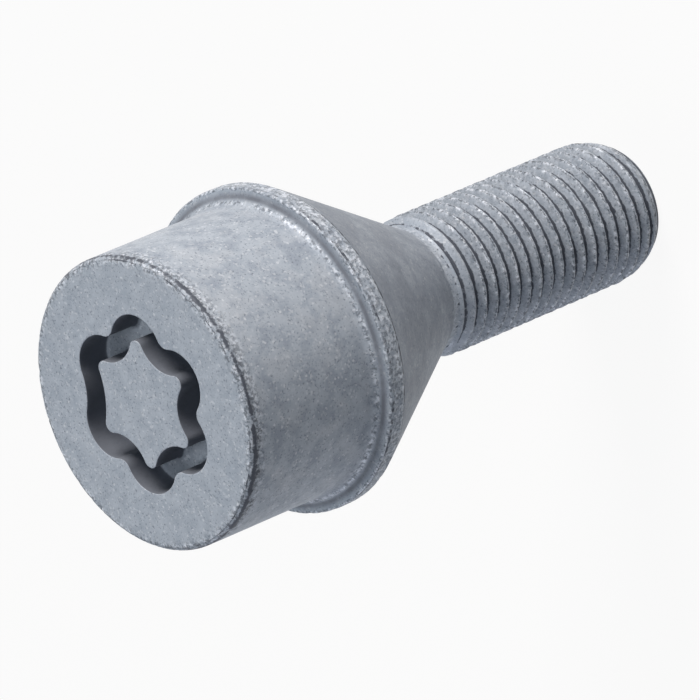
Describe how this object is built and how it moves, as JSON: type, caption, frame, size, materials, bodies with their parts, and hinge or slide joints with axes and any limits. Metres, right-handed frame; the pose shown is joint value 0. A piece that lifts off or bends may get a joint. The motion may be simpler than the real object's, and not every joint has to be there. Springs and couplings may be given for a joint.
{
  "type": "locking wheel bolt",
  "caption": "Wheel bolt with a round head, a coded wave-shaped key groove in its face, a cone seat and a short threaded shank.",
  "frame": {"origin": "centre of the flat end of the thread, on the bolt's axis", "axes": "+Z along the axis from the thread end to the face of the head; the groove's first lobe lies 36 degrees from +X towards +Y, and its one shallow point 66 degrees"},
  "size_m": [0.0268, 0.0268, 0.0529],
  "materials": {
    "zinc_flake": "matt grey zinc-flake coating"
  },
  "bodies": {
    "root": {"bolt": "zinc_flake"}
  },
  "joints": []
}
